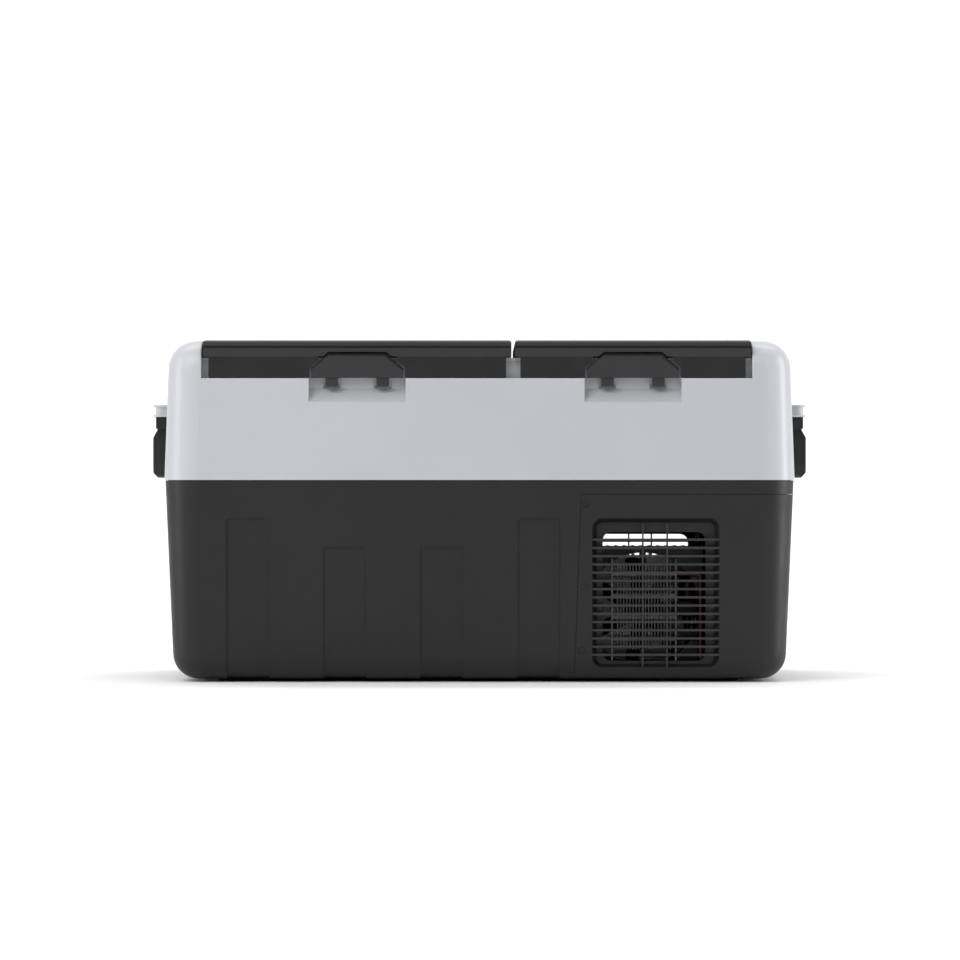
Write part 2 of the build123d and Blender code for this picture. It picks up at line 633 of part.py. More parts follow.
with BuildPart() as fan_rotor:
    with BuildSketch(fan_front.offset(3.0)):
        Circle(19.5)
    extrude(amount=11.2)
    fillet(fan_rotor.faces().sort_by(Axis.Y)[0].edges(), 2.5)
    with BuildSketch(fan_front.offset(10.0)):
        Circle(2.0)
    extrude(amount=13.0)
    for i in range(7):
        turn = 2 * math.pi * i / 7
        along = Vector(math.cos(turn), 0, math.sin(turn))
        around = Vector(-math.sin(turn), 0, math.cos(turn))
        tilt = math.radians(33.0)
        across = around * math.cos(tilt) + Vector(0, 1, 0) * math.sin(tilt)
        centre = Vector(FAN_X, FAN_Y[0] + 8.6, FAN_Z)
        blade = Plane(origin=centre, x_dir=along, z_dir=along.cross(across))
        with BuildSketch(blade.offset(-0.8)):
            with Locations((36.0, 0)):
                RectangleRounded(40.0, 17.0, 5.0)
        extrude(amount=1.6)
finish(fan_rotor.part, "fan_rotor")

with BuildPart() as compressor_driver:
    slab((112.0, 225.0), (76.0, 132.0), (16.0, 126.0))
    for i in range(13):
        x = 112.0 + 9.2 * i
        slab((x, x + 2.4), (76.0, 132.0), (126.0, 139.0))
    for x in (122.0, 206.0):
        slab((x, x + 8.0), (80.0, 124.0), (TRAY_Z[1] + 3.5, 16.0))
    with BuildSketch(Plane.XZ.offset(-76.0)):
        for z in (34.0, 54.0):
            with Locations((146.0, z), (186.0, z)):
                Rectangle(20.0, 10.0)
    extrude(amount=-8.0, mode=Mode.SUBTRACT)
finish(compressor_driver.part, "compressor_driver")

DRIER_XY = (220.0, -72.0)
with BuildPart() as filter_drier:
    x, y = DRIER_XY
    with BuildSketch(Plane(origin=(x, y, 0), x_dir=(1, 0, 0), z_dir=(0, -1, 0))):
        with BuildLine():
            Polyline(
                (2.65, 60.0), (4.5, 60.0), (4.5, 66.0), (9.0, 72.0), (9.0, 106.0),
                (4.5, 112.0), (4.5, 118.0), (2.65, 118.0), close=True,
            )
        make_face()
    revolve(axis=Axis((x, y, 0), (0, 0, 1)))
finish(filter_drier.part, "filter_drier")


def tube(points, bend, radius=2.6):
    """A bent tube along a polyline."""
    with BuildLine() as path:
        FilletPolyline(*points, radius=bend)
    with BuildSketch(Plane(origin=path.line @ 0, z_dir=path.line % 0)) as section:
        Circle(radius)
    sweep(section.sketch, path=path.line)


with BuildPart() as refrigerant_tubes:
    x, y = DRIER_XY
    end_x = CONDENSER_X[1] + 6.9
    # Discharge line to the condenser, liquid line through the drier, two lines to the cooling plates.
    tube(
        ((232.1, 16.2, 112.0), (221.8, 12.5, 112.0), (221.8, -36.0, 112.0), (221.8, -36.0, 22.0),
         (240.0, -36.0, 22.0), (240.0, -143.0, 22.0), (231.0, -143.0, 22.0),
         (231.0, -143.0, 112.5), (end_x, -143.0, 112.5)), 4.0,
    )
    tube(
        ((end_x, -131.0, 45.0), (240.0, -131.0, 45.0), (240.0, y, 45.0), (x, y, 45.0),
         (x, y, 128.0), (x + 12.0, y, 128.0), (x + 12.0, y, 195.6)), 5.0,
    )
    tube(
        ((241.5, 1.5, 60.0), (234.0, -6.0, 60.0), (234.0, -58.0, 60.0), (234.0, -58.0, 195.6)),
        5.0, 3.4,
    )
finish(refrigerant_tubes.part, "refrigerant_tubes")

# ---------------------------------------------------------------- power inlet and controls
INLET_Y, INLET_Z = -60.0, 62.0
inlet_x = lower_half(INLET_Z, 0) - 0.7
with BuildPart() as dc_socket:
    slab((inlet_x - 18.4, inlet_x), (INLET_Y - 16.7, INLET_Y + 16.7), (INLET_Z - 11.7, INLET_Z + 11.7))
    slab((inlet_x - 9.4, inlet_x - 3.9), (INLET_Y - 22.0, INLET_Y + 22.0), (INLET_Z - 17.0, INLET_Z + 17.0))
    slab(
        (inlet_x - 14.4, inlet_x + 12.0), (INLET_Y - 13.0, INLET_Y + 13.0), (INLET_Z - 7.0, INLET_Z + 7.0),
        mode=Mode.SUBTRACT,
    )
    for y in (INLET_Y - 6.0, INLET_Y + 6.0):
        rod((inlet_x - 15.4, y, INLET_Z), (inlet_x - 6.9, y, INLET_Z), 2.0)
finish(dc_socket.part, "dc_socket")

panel_plane = end_plane(CONTROL_Z)
with BuildPart() as control_panel:
    width, height = CONTROL_SIZE[0] - 0.5, CONTROL_SIZE[1] - 0.5
    with BuildSketch(panel_plane.offset(-CONTROL_POCKET)):
        RectangleRounded(width, height, 7.75)
    extrude(amount=CONTROL_POCKET - 0.4)
    with BuildSketch(panel_plane.offset(-CONTROL_POCKET)):
        RectangleRounded(width - 4.0, height - 4.0, 5.75)
    extrude(amount=1.9, mode=Mode.SUBTRACT)
    with BuildSketch(panel_plane.offset(-1.4)):
        RectangleRounded(*WINDOW_SIZE, 2.5)
    extrude(amount=2.0, mode=Mode.SUBTRACT)
    with BuildSketch(panel_plane.offset(-CONTROL_POCKET)):
        for y in KEYS.values():
            with Locations((y, 0)):
                RectangleRounded(*KEY_SIZE, 2.5)
    extrude(amount=CONTROL_POCKET + 1.0, mode=Mode.SUBTRACT)
finish(control_panel.part, "control_panel")

with BuildPart() as display_window:
    with BuildSketch(panel_plane.offset(-1.4)):
        RectangleRounded(WINDOW_SIZE[0] - 0.2, WINDOW_SIZE[1] - 0.2, 2.4)
    extrude(amount=1.0)
finish(display_window.part, "display_window")

for key, y in KEYS.items():
    with BuildPart() as key_cap:
        with BuildSketch(panel_plane.offset(-3.3)):
            with Locations((y, 0)):
                RectangleRounded(KEY_SIZE[0] + 3.0, KEY_SIZE[1] + 3.0, 3.0)
        extrude(amount=0.7)
        with BuildSketch(panel_plane.offset(-3.3)):
            with Locations((y, 0)):
                RectangleRounded(KEY_SIZE[0] - 2 * KEY_GAP, KEY_SIZE[1] - 2 * KEY_GAP, 2.4)
        extrude(amount=3.5)
    finish(key_cap.part, f"key_{key}")


# ---------------------------------------------------------------- lids and latches
def latch_outline(middle, gap):
    """The latch plate's outline in the active sketch, on the vertical plane of the front."""
    bottom, shoulder, top = LATCH_Z
    Polygon(
        (middle - LATCH_HALF - gap, bottom - 8.0 * min(gap, 1.0)),
        (middle + LATCH_HALF + gap, bottom - 8.0 * min(gap, 1.0)),
        (middle + LATCH_HALF + gap, shoulder + gap * 0.3),
        (middle + LATCH_TOP_HALF + gap * 0.6, top + gap),
        (middle - LATCH_TOP_HALF - gap * 0.6, top + gap),
        (middle - LATCH_HALF - gap, shoulder + gap * 0.3),
        align=None,
    )


def posts(side):
    middle = latch_centre(side)
    return (middle - HINGE_OFFSETS[side], middle + HINGE_OFFSETS[side])


for side, (x_low, x_high) in LIDS.items():
    middle = latch_centre(side)
    pivot_y, pivot_z = LATCH_PIVOT
    with BuildPart() as lid_outer:
        with BuildSketch(Plane.YZ.offset(x_low)):
            with BuildLine():
                Polyline(
                    (-163.8, TOP_Z), (HINGE_Y, TOP_Z),
                )
                ThreePointArc(
                    (HINGE_Y, TOP_Z), (HINGE_Y + BARREL_R, HINGE_Z), (HINGE_Y, LID_BOTTOM_Z)
                )
                Polyline(
                    (HINGE_Y, LID_BOTTOM_Z), (-166.6, LID_BOTTOM_Z), (-169.5, 347.8), (-168.5, 348.2),
                    (-168.5, 349.0), (-169.8, 349.4), (-169.8, 350.0),
                )
                ThreePointArc(
                    (-169.8, 350.0), (-163.8 - 6.0 * math.sqrt(0.5), 350.0 + 6.0 * math.sqrt(0.5)),
                    (-163.8, TOP_Z),
                )
            make_face()
        extrude(amount=x_high - x_low)
        with BuildSketch(Plane.XZ.offset(-200.0)):
            with Locations((middle, TOP_Z - 50.0)):
                RectangleRounded(x_high - x_low, 100.0, 3.0)
        extrude(amount=400.0, mode=Mode.INTERSECT)
        # Shallow recess in the top with rounded corners.
        with BuildSketch(Plane.XY.offset(TOP_Z)):
            with Locations((middle, -4.0)):
                RectangleRounded(x_high - x_low - 52.0, 262.0, 20.0)
        extrude(amount=-1.6, taper=40.0, mode=Mode.SUBTRACT)
        # Front skirt with short returns, then the hollow above the compartment.
        with BuildSketch(Plane.YZ.offset(x_low + SKIRT_INSET)):
            with BuildLine():
                Polyline(
                    (-167.6, SKIRT_Z), (-166.6, LID_BOTTOM_Z), (-163.4, LID_BOTTOM_Z + 1.0),
                    (-164.2, SKIRT_Z), close=True,
                )
            make_face()
        extrude(amount=x_high - x_low - 2 * SKIRT_INSET)
        for low in (x_low + SKIRT_INSET, x_high - SKIRT_INSET - 3.0):
            slab((low, low + 3.0), (-164.6, -156.5), (SKIRT_Z, LID_BOTTOM_Z + 1.0))
        skirt_edges = lid_outer.edges().filter_by(Axis.X).filter_by_position(Axis.Y, -168.0, -167.0)
        fillet(skirt_edges.filter_by_position(Axis.Z, SKIRT_Z - 0.01, SKIRT_Z + 0.01), 0.8)
        slab(
            (x_low + LID_WALL, x_high - LID_WALL), CAVITY_Y, (330.0, TOP_Z - LID_WALL - 1.4),
            mode=Mode.SUBTRACT,
        )
        # Latch pocket, cut deeper behind its front edge so that the latch can tip.
        with BuildSketch(Plane.XZ.offset(-LATCH_POCKET_Y)):
            latch_outline(middle, LATCH_GAP)
        extrude(amount=20.0, mode=Mode.SUBTRACT)
        with BuildSketch(Plane.XZ.offset(-LATCH_POCKET_Y)):
            latch_outline(middle, 4.5)
            with Locations((middle, 342.0)):
                Rectangle(200.0, 24.0, mode=Mode.INTERSECT)
        extrude(amount=166.7 + LATCH_POCKET_Y, mode=Mode.SUBTRACT)
        for sign in (-1, 1):
            low, high = (sign * value for value in LATCH_LUG)
            slab((middle + low, middle + high), (pivot_y - 0.6, LATCH_POCKET_Y + 0.5), (pivot_z, 348.5))
            rod((middle + low, pivot_y, pivot_z), (middle + high, pivot_y, pivot_z), 3.0)
        rod(
            (middle - 30.0, pivot_y, pivot_z), (middle + 30.0, pivot_y, pivot_z),
            LATCH_PIN_R + 0.01, mode=Mode.SUBTRACT,
        )
        # Gaps in the barrel for the housing's hinge posts.
        for x in posts(side):
            half = KNUCKLE_WIDTH / 2 + KNUCKLE_GAP
            slab((x - half, x + half), (HINGE_Y - 12.0, 200.0), (330.0, 370.0), mode=Mode.SUBTRACT)
            rod(
                (x - half - 10.0, HINGE_Y, HINGE_Z), (x + half + 10.0, HINGE_Y, HINGE_Z),
                HINGE_PIN_R + 0.01, mode=Mode.SUBTRACT,
            )
    finish(lid_outer.part, f"{side}_lid_outer")

    with BuildPart() as lid_inner:
        with BuildSketch(Plane.XY.offset(PANEL_Z[0])):
            with Locations((middle, sum(CAVITY_Y) / 2)):
                RectangleRounded(
                    x_high - x_low - 2 * LID_WALL - 0.4, CAVITY_Y[1] - CAVITY_Y[0] - 0.4, 2.0
                )
        extrude(amount=PANEL_Z[1] - PANEL_Z[0])
        with BuildSketch(Plane.XY.offset(PLUG_Z)):
            tub_sketch(side, -PLUG_GAP)
        extrude(amount=PANEL_Z[0] - PLUG_Z)
        with BuildSketch(Plane.XY.offset(PLUG_Z + 2.0)):
            tub_sketch(side, -PLUG_GAP - 2.0)
        extrude(amount=30.0, mode=Mode.SUBTRACT)
    finish(lid_inner.part, f"{side}_lid_inner")

    with BuildPart() as lid_foam:
        with BuildSketch(Plane.XY.offset(PLUG_Z + 2.2)):
            tub_sketch(side, -PLUG_GAP - 2.3)
        extrude(amount=TOP_Z - 5.0 - PLUG_Z - 2.2)
    finish(lid_foam.part, f"{side}_lid_foam")

    with BuildPart() as lid_gasket:
        with BuildSketch(Plane.XY.offset(GASKET_Z)):
            tub_sketch(side, 8.0)
        extrude(amount=PANEL_Z[0] - GASKET_Z)
        with BuildSketch(Plane.XY.offset(GASKET_Z - 1.0)):
            tub_sketch(side, 1.0)
        extrude(amount=10.0, mode=Mode.SUBTRACT)
    finish(lid_gasket.part, f"{side}_lid_gasket")

    with BuildPart() as hinge_pins:
        for x in posts(side):
            half = KNUCKLE_WIDTH / 2 + KNUCKLE_GAP + 9.8
            rod((x - half, HINGE_Y, HINGE_Z), (x + half, HINGE_Y, HINGE_Z), HINGE_PIN_R)
    finish(hinge_pins.part, f"{side}_hinge_pins")

    with BuildPart() as latch:
        with BuildSketch(Plane.XZ.offset(-LATCH_Y[1])):
            latch_outline(middle, 0.0)
        extrude(amount=LATCH_Y[1] - LATCH_Y[0])
        front = latch.faces().sort_by(Axis.Y)[0]
        chamfer(front.edges().sort_by(Axis.Z)[-3:], 3.0)
        chamfer(latch.faces().sort_by(Axis.Y)[0].edges().sort_by(Axis.Z)[0], 0.9)
        rod(
            (middle - LATCH_BARREL_HALF, pivot_y, pivot_z),
            (middle + LATCH_BARREL_HALF, pivot_y, pivot_z), LATCH_BARREL_R,
        )
        slab(
            (middle - LATCH_BARREL_HALF, middle + LATCH_BARREL_HALF), (LATCH_Y[1], pivot_y),
            (pivot_z - LATCH_BARREL_R, pivot_z + 2.0),
        )
        for hook in (-HOOK_X, HOOK_X):
            low, high = middle + hook - HOOK_WIDTH / 2, middle + hook + HOOK_WIDTH / 2
            slab((low, high), (-166.0, -161.8), (HOOK_BOTTOM_Z, 326.0))
            slab((low, high), (-162.0, HOOK_TIP_Y), (HOOK_BOTTOM_Z, HOOK_BOTTOM_Z + 3.0))
        rod(
            (middle - 30.0, pivot_y, pivot_z), (middle + 30.0, pivot_y, pivot_z),
            LATCH_PIN_R + RUNNING_GAP, mode=Mode.SUBTRACT,
        )
    finish(latch.part, f"{side}_latch")

    with BuildPart() as latch_pin:
        rod((middle - 26.0, pivot_y, pivot_z), (middle + 26.0, pivot_y, pivot_z), LATCH_PIN_R)
    finish(latch_pin.part, f"{side}_latch_pin")

# ---------------------------------------------------------------- end handles
for side, sign in (("left", -1), ("right", 1)):
    pivot_x, pivot_z = HANDLE_PIVOT
    wall_x = upper_half(264.9, 0) + 0.05

    with BuildPart() as handle_bracket:
        slab((sign * wall_x, sign * (wall_x + 1.0)), (-95.0, 95.0), (264.9, LEDGE_Z[0]))
        slab((sign * wall_x, sign * (pivot_x - 1.0)), (-60.0, 60.0), (269.0, LEDGE_Z[0]))
        for end in (-1, 1):
            slab(
                (sign * wall_x, sign * (pivot_x + 5.6)), (end * LUG_Y[0], end * LUG_Y[1]),
                (264.9, LEDGE_Z[0]),
            )
        for end in (-1, 1):
            rod(
                (sign * pivot_x, end * (LUG_Y[0] - 1.0), pivot_z),
                (sign * pivot_x, end * (LUG_Y[1] + 2.0), pivot_z),
                HANDLE_PIN_R + 0.01, mode=Mode.SUBTRACT,
            )
    finish(handle_bracket.part, f"{side}_handle_bracket")

    with BuildPart() as handle:
        with BuildSketch(Plane.XZ.offset(-HANDLE_HALF_Y)):
            with BuildLine():
                Polyline(
                    (sign * (pivot_x - 5.0), pivot_z), (sign * HANDLE_IN_X, HANDLE_Z),
                    (sign * (HANDLE_OUT_X - 4.6), HANDLE_Z), (sign * HANDLE_OUT_X, HANDLE_Z + 5.5),
                    (sign * HANDLE_OUT_X, 255.0), (sign * (pivot_x + 5.2), 263.5),
                    (sign * (pivot_x + 5.4), pivot_z), close=True,
                )
            make_face()
            with Locations((sign * pivot_x, pivot_z)):
                Circle(HANDLE_EYE_R)
        extrude(amount=2 * HANDLE_HALF_Y)
        with BuildSketch(Plane.YZ.offset(sign * pivot_x)):
            with Locations((0, 260.0)):
                RectangleRounded(
                    2 * (HANDLE_HALF_Y - HANDLE_ARM), 2 * (260.0 - HANDLE_Z - HANDLE_GRIP), 9.0
                )
        extrude(amount=30.0, both=True, mode=Mode.SUBTRACT)
        with BuildSketch(Plane.YZ.offset(sign * pivot_x)):
            with Locations((0, 300.0)):
                Rectangle(400.0, 2 * (300.0 - HANDLE_Z))
                RectangleRounded(2 * HANDLE_HALF_Y, 2 * (300.0 - HANDLE_Z), 14.0, mode=Mode.SUBTRACT)
        extrude(amount=30.0, both=True, mode=Mode.SUBTRACT)
        outer_face = handle.faces().filter_by(Axis.X).sort_by(Axis.X)[-1 if sign > 0 else 0]
        fillet(outer_face.edges(), 1.6)
        rod(
            (sign * pivot_x, -90.0, pivot_z), (sign * pivot_x, 90.0, pivot_z),
            HANDLE_PIN_R + RUNNING_GAP, mode=Mode.SUBTRACT,
        )
    finish(handle.part, f"{side}_handle")

    with BuildPart() as handle_pins:
        for end in (-1, 1):
            low, high = HANDLE_HALF_Y - HANDLE_ARM + 1.0, LUG_Y[1]
            rod(
                (sign * pivot_x, end * low, pivot_z), (sign * pivot_x, end * high, pivot_z),
                HANDLE_PIN_R,
            )
    finish(handle_pins.part, f"{side}_handle_pins")

    with BuildPart() as handle_stop:
        stop_x = LOWER_HALF[0] + 0.05
        slab((sign * stop_x, sign * (stop_x + 2.0)), (-9.0, 9.0), (200.0, 210.0))
        edges = handle_stop.faces().sort_by(Axis.X)[-1 if sign > 0 else 0].edges()
        fillet(edges, 0.8)
    finish(handle_stop.part, f"{side}_handle_stop")

print(len(made), "pieces")
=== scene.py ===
"""Looks of the compressor cooler: materials, small surface pieces, camera, floor and lights."""

import math

import bpy
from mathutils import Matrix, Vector


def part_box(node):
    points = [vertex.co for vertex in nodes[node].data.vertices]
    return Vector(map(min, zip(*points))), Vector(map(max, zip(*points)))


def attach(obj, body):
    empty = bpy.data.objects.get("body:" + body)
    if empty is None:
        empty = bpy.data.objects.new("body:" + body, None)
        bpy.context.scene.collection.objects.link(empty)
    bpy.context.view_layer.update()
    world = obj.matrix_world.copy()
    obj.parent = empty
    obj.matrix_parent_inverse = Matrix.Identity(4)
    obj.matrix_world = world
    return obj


PANEL_LEAN = 2.1  # degrees that the upper shell leans in, as the control panel does
PRINT_THICKNESS, PRINT_LIFT = 0.00008, 0.00004
CAMERA_LENS, CAMERA_SENSOR = 166.2, 36.0
CAMERA_SIDE, CAMERA_DISTANCE = 0.0005, 4.601
WORLD_STRENGTH = 0.24

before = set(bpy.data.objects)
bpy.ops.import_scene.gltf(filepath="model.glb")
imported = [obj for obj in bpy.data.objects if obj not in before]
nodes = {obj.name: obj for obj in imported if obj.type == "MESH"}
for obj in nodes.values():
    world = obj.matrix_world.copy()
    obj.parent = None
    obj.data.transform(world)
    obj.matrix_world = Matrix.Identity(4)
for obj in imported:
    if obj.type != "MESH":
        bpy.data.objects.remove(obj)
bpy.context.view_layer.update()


# ---------------------------------------------------------------- materials
def new_material(name):
    material = bpy.data.materials.new(name)
    material.use_nodes = True
    tree = material.node_tree
    shader = tree.nodes["Principled BSDF"]
    return material, tree, shader


def noise(tree, scale, detail=2.0, stretch=None, roughness=0.5):
    """A noise texture over the piece's own coordinates, in metres."""
    coords = tree.nodes.new("ShaderNodeTexCoord")
    mapping = tree.nodes.new("ShaderNodeMapping")
    mapping.inputs["Scale"].default_value = stretch or (1.0, 1.0, 1.0)
    texture = tree.nodes.new("ShaderNodeTexNoise")
    texture.inputs["Scale"].default_value = scale
    texture.inputs["Detail"].default_value = detail
    texture.inputs["Roughness"].default_value = roughness
    tree.links.new(coords.outputs["Object"], mapping.inputs["Vector"])
    tree.links.new(mapping.outputs["Vector"], texture.inputs["Vector"])
    return texture.outputs["Fac"]


def ramp(tree, source, low, high, start=0.3, end=0.7):
    """Maps a 0 to 1 source onto a range of values."""
    node = tree.nodes.new("ShaderNodeMapRange")
    node.inputs["From Min"].default_value = start
    node.inputs["From Max"].default_value = end
    node.inputs["To Min"].default_value = low
    node.inputs["To Max"].default_value = high
    tree.links.new(source, node.inputs["Value"])
    return node.outputs["Result"]


def tint(tree, shader, source, first, second):
    """Blends the base colour between two close tones."""
    node = tree.nodes.new("ShaderNodeMix")
    node.data_type = "RGBA"
    node.inputs["A"].default_value = (*first, 1.0)
    node.inputs["B"].default_value = (*second, 1.0)
    tree.links.new(source, node.inputs["Factor"])
    tree.links.new(node.outputs["Result"], shader.inputs["Base Color"])


def relief(tree, shader, source, distance, strength=1.0):
    node = tree.nodes.new("ShaderNodeBump")
    node.inputs["Distance"].default_value = distance
    node.inputs["Strength"].default_value = strength
    tree.links.new(source, node.inputs["Height"])
    tree.links.new(node.outputs["Normal"], shader.inputs["Normal"])


def shade(colour, factor):
    return tuple(min(1.0, channel * factor) for channel in colour)


def moulded(name, colour, rough, grain=1400.0, depth=0.00003, spread=0.05, specular=0.5):
    """Moulded plastic: faint flow mottling, a fine spark-eroded grain and uneven gloss."""
    material, tree, shader = new_material(name)
    shader.inputs["Specular IOR Level"].default_value = specular
    mottle = noise(tree, 9.0, 4.0)
    tint(tree, shader, ramp(tree, mottle, 0.0, 1.0), shade(colour, 1 - spread), shade(colour, 1 + spread))
    patches = noise(tree, 42.0, 5.0, roughness=0.6)
    tree.links.new(ramp(tree, patches, rough - 0.04, rough + 0.05), shader.inputs["Roughness"])
    relief(tree, shader, noise(tree, grain, 2.0), depth)
    return material


def metal(name, colour, rough, stretch=(1.0, 1.0, 1.0), scale=300.0, depth=0.00002, spread=0.08):
    """Bare metal with drawing or rolling marks and slight tarnish."""
    material, tree, shader = new_material(name)
    shader.inputs["Metallic"].default_value = 1.0
    tarnish = noise(tree, 30.0, 5.0, roughness=0.65)
    tint(tree, shader, ramp(tree, tarnish, 0.0, 1.0), shade(colour, 1 - spread), shade(colour, 1 + spread))
    marks = noise(tree, scale, 3.0, stretch)
    tree.links.new(ramp(tree, marks, rough - 0.08, rough + 0.1), shader.inputs["Roughness"])
    relief(tree, shader, marks, depth)
    return material


def painted(name, colour, rough):
    """Thick gloss paint with orange peel on pressed steel."""
    material, tree, shader = new_material(name)
    shader.inputs["Coat Weight"].default_value = 0.4
    shader.inputs["Coat Roughness"].default_value = 0.12
    tint(tree, shader, ramp(tree, noise(tree, 20.0, 4.0), 0.0, 1.0), shade(colour, 0.85), shade(colour, 1.15))
    tree.links.new(ramp(tree, noise(tree, 60.0, 3.0), rough - 0.05, rough + 0.08), shader.inputs["Roughness"])
    relief(tree, shader, noise(tree, 260.0, 1.0), 0.00006)
    return material


light_shell = moulded("light_shell", (0.505, 0.512, 0.532), 0.36, 1700.0, 0.000018, 0.02)
dark_shell = moulded("dark_shell", (0.0095, 0.0095, 0.0099), 0.46, 1100.0, 0.00004, 0.10, 0.38)
lid_plastic = moulded("lid_plastic", (0.013, 0.013, 0.0142), 0.36, 1300.0, 0.00003, 0.10, 0.42)
latch_plastic = moulded("latch_plastic", (0.024, 0.024, 0.026), 0.40, 1500.0, 0.00002, 0.08, 0.45)
trim_plastic = moulded("trim_plastic", (0.010, 0.010, 0.011), 0.42, 900.0, 0.00004, 0.12, 0.4)
grille_plastic = moulded("grille_plastic", (0.022, 0.022, 0.023), 0.45, 1000.0, 0.00003, 0.10, 0.42)
liner_plastic = moulded("liner_plastic", (0.70, 0.71, 0.72), 0.30, 500.0, 0.00002, 0.015)
panel_plastic = moulded("panel_plastic", (0.012, 0.013, 0.015), 0.28, 1800.0, 0.00001, 0.10)
key_plastic = moulded("key_plastic", (0.06, 0.062, 0.066), 0.55, 700.0, 0.00003, 0.08)
seal_rubber = moulded("seal_rubber", (0.014, 0.014, 0.014), 0.68, 600.0, 0.00006, 0.18, 0.3)
rigid_foam = moulded("rigid_foam", (0.78, 0.70, 0.48), 0.85, 350.0, 0.0004, 0.10, 0.2)
# Copper darkened to near black as painted shade: the colour stands in for the shade inside the closed machine
# bay around the tubes and the filter drier.
bay_shaded_copper = metal("bay_shaded_copper", (0.060, 0.034, 0.026), 0.34, (1.0, 1.0, 0.1), 260.0)
sheet_aluminium = metal("sheet_aluminium", (0.60, 0.61, 0.62), 0.38, (1.0, 8.0, 1.0), 240.0)
fin_metal = metal("fin_metal", (0.16, 0.16, 0.165), 0.45, (1.0, 1.0, 6.0), 300.0)
zinc_steel = metal("zinc_steel", (0.50, 0.50, 0.49), 0.36, (1.0, 1.0, 1.0), 400.0)
black_screw = metal("black_screw", (0.045, 0.045, 0.048), 0.38, (1.0, 1.0, 1.0), 700.0)
can_paint = painted("can_paint", (0.008, 0.008, 0.009), 0.28)

screen_glass, tree, shader = new_material("screen_glass")
tint(tree, shader, ramp(tree, noise(tree, 80.0, 2.0), 0.0, 1.0), (0.004, 0.005, 0.006), (0.008, 0.009, 0.011))
tree.links.new(ramp(tree, noise(tree, 35.0, 5.0), 0.05, 0.14), shader.inputs["Roughness"])

lens_glass, tree, shader = new_material("lens_glass")
shader.inputs["Transmission Weight"].default_value = 0.35
tint(tree, shader, ramp(tree, noise(tree, 200.0, 2.0), 0.0, 1.0), (0.80, 0.83, 0.85), (0.90, 0.92, 0.94))
tree.links.new(ramp(tree, noise(tree, 120.0, 3.0), 0.25, 0.4), shader.inputs["Roughness"])
relief(tree, shader, noise(tree, 900.0, 1.0, (1.0, 1.0, 0.05)), 0.0001)

looks = {
    "upper_shell": light_shell,
    "lower_shell": dark_shell,
    "service_cover": dark_shell,
    "front_grille": grille_plastic,
    "rear_grille": grille_plastic,
    "cover_screws": black_screw,
    "liner_deck": liner_plastic,
    "left_tub": liner_plastic,
    "right_tub": liner_plastic,
    "evaporator_plates": sheet_aluminium,
    "insulation_foam": rigid_foam,
    "interior_lamp": lens_glass,
    "base_tray": zinc_steel,
    "rubber_feet": seal_rubber,
    "compressor_grommets": seal_rubber,
    "compressor": can_paint,
    "condenser": fin_metal,
    "fan_shroud": trim_plastic,
    "fan_rotor": trim_plastic,
    "compressor_driver": sheet_aluminium,
    "filter_drier": bay_shaded_copper,
    "refrigerant_tubes": bay_shaded_copper,
    "dc_socket": trim_plastic,
    "control_panel": panel_plastic,
    "display_window": screen_glass,
}
for key in ("power", "set", "down", "up"):
    looks[f"key_{key}"] = key_plastic
for side in ("left", "right"):
    looks[f"{side}_lid_outer"] = lid_plastic
    looks[f"{side}_lid_inner"] = liner_plastic
    looks[f"{side}_lid_foam"] = rigid_foam
    looks[f"{side}_lid_gasket"] = seal_rubber
    looks[f"{side}_hinge_pins"] = zinc_steel
    looks[f"{side}_latch"] = latch_plastic
    looks[f"{side}_latch_pin"] = zinc_steel
    looks[f"{side}_handle"] = trim_plastic
    looks[f"{side}_handle_bracket"] = trim_plastic
    looks[f"{side}_handle_pins"] = black_screw
    looks[f"{side}_handle_stop"] = seal_rubber
for name, node in nodes.items():
    for material_slot in node.material_slots:
        material_slot.material = looks[name]


# ---------------------------------------------------------------- markings on the keys and the display
tilt = math.radians(PANEL_LEAN)
out = Vector((math.cos(tilt), 0.0, math.sin(tilt)))
up = Vector((-math.sin(tilt), 0.0, math.cos(tilt)))
across = Vector((0.0, 1.0, 0.0))


def face_centre(node):
    """Centre of the outer face of a piece on the leaning control panel."""
    low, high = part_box(node)
    half = (high.z - low.z) / 2
    return Vector((high.x - half * math.sin(tilt), (low.y + high.y) / 2, (low.z + high.z) / 2))


def marking(name, node, body, outlines, material):
    """A thin raised print of flat outlines, given in millimetres from the centre of a face."""
    centre = face_centre(node) + out * PRINT_LIFT
    points, faces = [], []
    for outline in outlines:
        first = len(points)
        points += [centre + across * (u / 1000) + up * (v / 1000) for u, v in outline]
        faces.append(list(range(first, len(points))))
    mesh = bpy.data.meshes.new(name)
    mesh.from_pydata([tuple(p) for p in points], [], faces)
    mesh.materials.append(material)
    piece = bpy.data.objects.new(name, mesh)
    bpy.context.collection.objects.link(piece)
    thick = piece.modifiers.new("thick", "SOLIDIFY")
    thick.thickness, thick.offset = PRINT_THICKNESS, 0.0
    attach(piece, body)


def bar(u0, v0, u1, v1):
    return [(u0, v0), (u1, v0), (u1, v1), (u0, v1)]


def ring(radius, width, start, end, steps):
    """Short plates along an arc."""
    plates = []
    for i in range(steps):
        a, b = (math.radians(start + (end - start) * k / steps) for k in (i, i + 1))
        inner, outer = radius - width / 2, radius + width / 2
        plates.append(
            [
                (inner * math.cos(a), inner * math.sin(a)),
                (outer * math.cos(a), outer * math.sin(a)),
                (outer * math.cos(b), outer * math.sin(b)),
                (inner * math.cos(b), inner * math.sin(b)),
            ]
        )
    return plates


